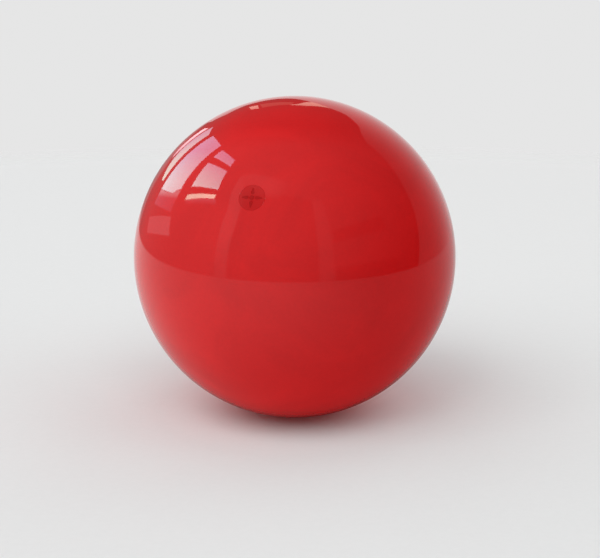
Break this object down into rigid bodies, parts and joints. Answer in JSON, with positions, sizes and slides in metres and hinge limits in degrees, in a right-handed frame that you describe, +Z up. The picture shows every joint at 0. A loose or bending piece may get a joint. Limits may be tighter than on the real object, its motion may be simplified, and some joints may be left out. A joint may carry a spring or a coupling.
{
  "type": "cue ball",
  "caption": "Solid cast-resin cue ball with a high gloss and a small round inlaid mark, flush with the ball's surface.",
  "frame": {"origin": "the ball's centre, 34 mm above the point it rests on", "axes": "+Z up, -Z towards the table; -Y is the side that carries the round mark, which sits 31 degrees above the horizontal; +X is to the right when the mark is seen from the front"},
  "size_m": [0.068, 0.068, 0.068],
  "materials": {
    "ball_resin": "polished cast phenolic resin, opaque red",
    "mark_resin": "polished cast phenolic resin, darker red, a little duller than the ball",
    "emblem_resin": "polished cast phenolic resin, deep red"
  },
  "bodies": {
    "root": {"ball_body": "ball_resin", "mark_disc": "mark_resin", "emblem_dot": "emblem_resin", "emblem_teardrop_top": "emblem_resin", "emblem_teardrop_right": "emblem_resin", "emblem_teardrop_bottom": "emblem_resin", "emblem_teardrop_left": "emblem_resin"}
  },
  "joints": []
}
